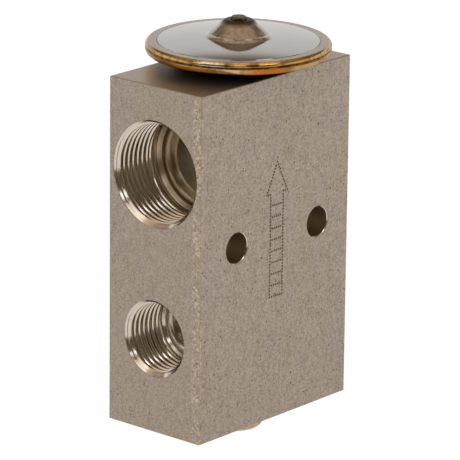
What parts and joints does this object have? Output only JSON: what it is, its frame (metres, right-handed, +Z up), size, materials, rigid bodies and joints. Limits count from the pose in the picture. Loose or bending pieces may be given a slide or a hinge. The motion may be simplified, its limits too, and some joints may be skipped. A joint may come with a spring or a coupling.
{
  "type": "thermostatic expansion valve",
  "caption": "Block-type thermostatic expansion valve: aluminium block with threaded refrigerant ports, through mounting holes, round power head and adjusting screw.",
  "frame": {"origin": "under the middle of the block, level with the end of the adjusting screw", "axes": "+Z up along the valve axis towards the power head, X through the ports (the front ports open to -X), Y through the mounting holes"},
  "size_m": [0.0476, 0.039, 0.0899],
  "materials": {
    "block_aluminium": "machined, slightly speckled",
    "head_steel": "pressed stainless steel, heat tint at the rim",
    "lid_steel": "polished stainless steel lid",
    "weld_steel": "straw-coloured weld",
    "plug_steel": "dark welded plug",
    "spring_steel": "bright spring steel",
    "rod_aluminium": "turned aluminium",
    "pin_steel": "ground steel",
    "ball_steel": "polished steel ball",
    "brass": "turned brass",
    "seal_rubber": "black rubber"
  },
  "bodies": {
    "valve_body": {"valve_block": "block_aluminium", "head_base": "head_steel", "head_lid": "lid_steel", "diaphragm": "spring_steel", "rim_weld": "weld_steel", "charge_plug": "plug_steel", "head_oring": "seal_rubber", "rod_oring": "seal_rubber", "oring_retainer": "spring_steel"},
    "stem": {"diaphragm_pad": "pin_steel", "sensing_rod": "rod_aluminium", "push_pin": "pin_steel", "valve_ball": "ball_steel", "ball_carrier": "brass", "damper_spring": "spring_steel", "superheat_spring": "spring_steel"},
    "adjuster_seal": {"adjuster_oring": "seal_rubber"},
    "adjuster": {"adjusting_screw": "brass"}
  },
  "joints": [
    {"name": "valve_lift", "type": "slide", "parent": "valve_body", "child": "stem", "axis": [0, 0, 1], "range_m": [-0.00045, 0.00033], "stiffness_N_per_m": 2500, "deforming": ["superheat_spring", "diaphragm"]},
    {"name": "adjuster_advance", "type": "slide", "parent": "valve_body", "child": "adjuster_seal", "axis": [0, 0, 1], "range_m": [-0.0015, 0.0015]},
    {"name": "adjuster_turn", "type": "hinge", "parent": "adjuster_seal", "child": "adjuster", "pos_m": [0.0022, 0, 0], "axis": [0, 0, 1], "range_deg": [-540.1, 540.1]}
  ],
  "couplings": [
    {"joint": "adjuster_turn", "follows": "adjuster_advance", "rad_per_m": 6283.2}
  ]
}
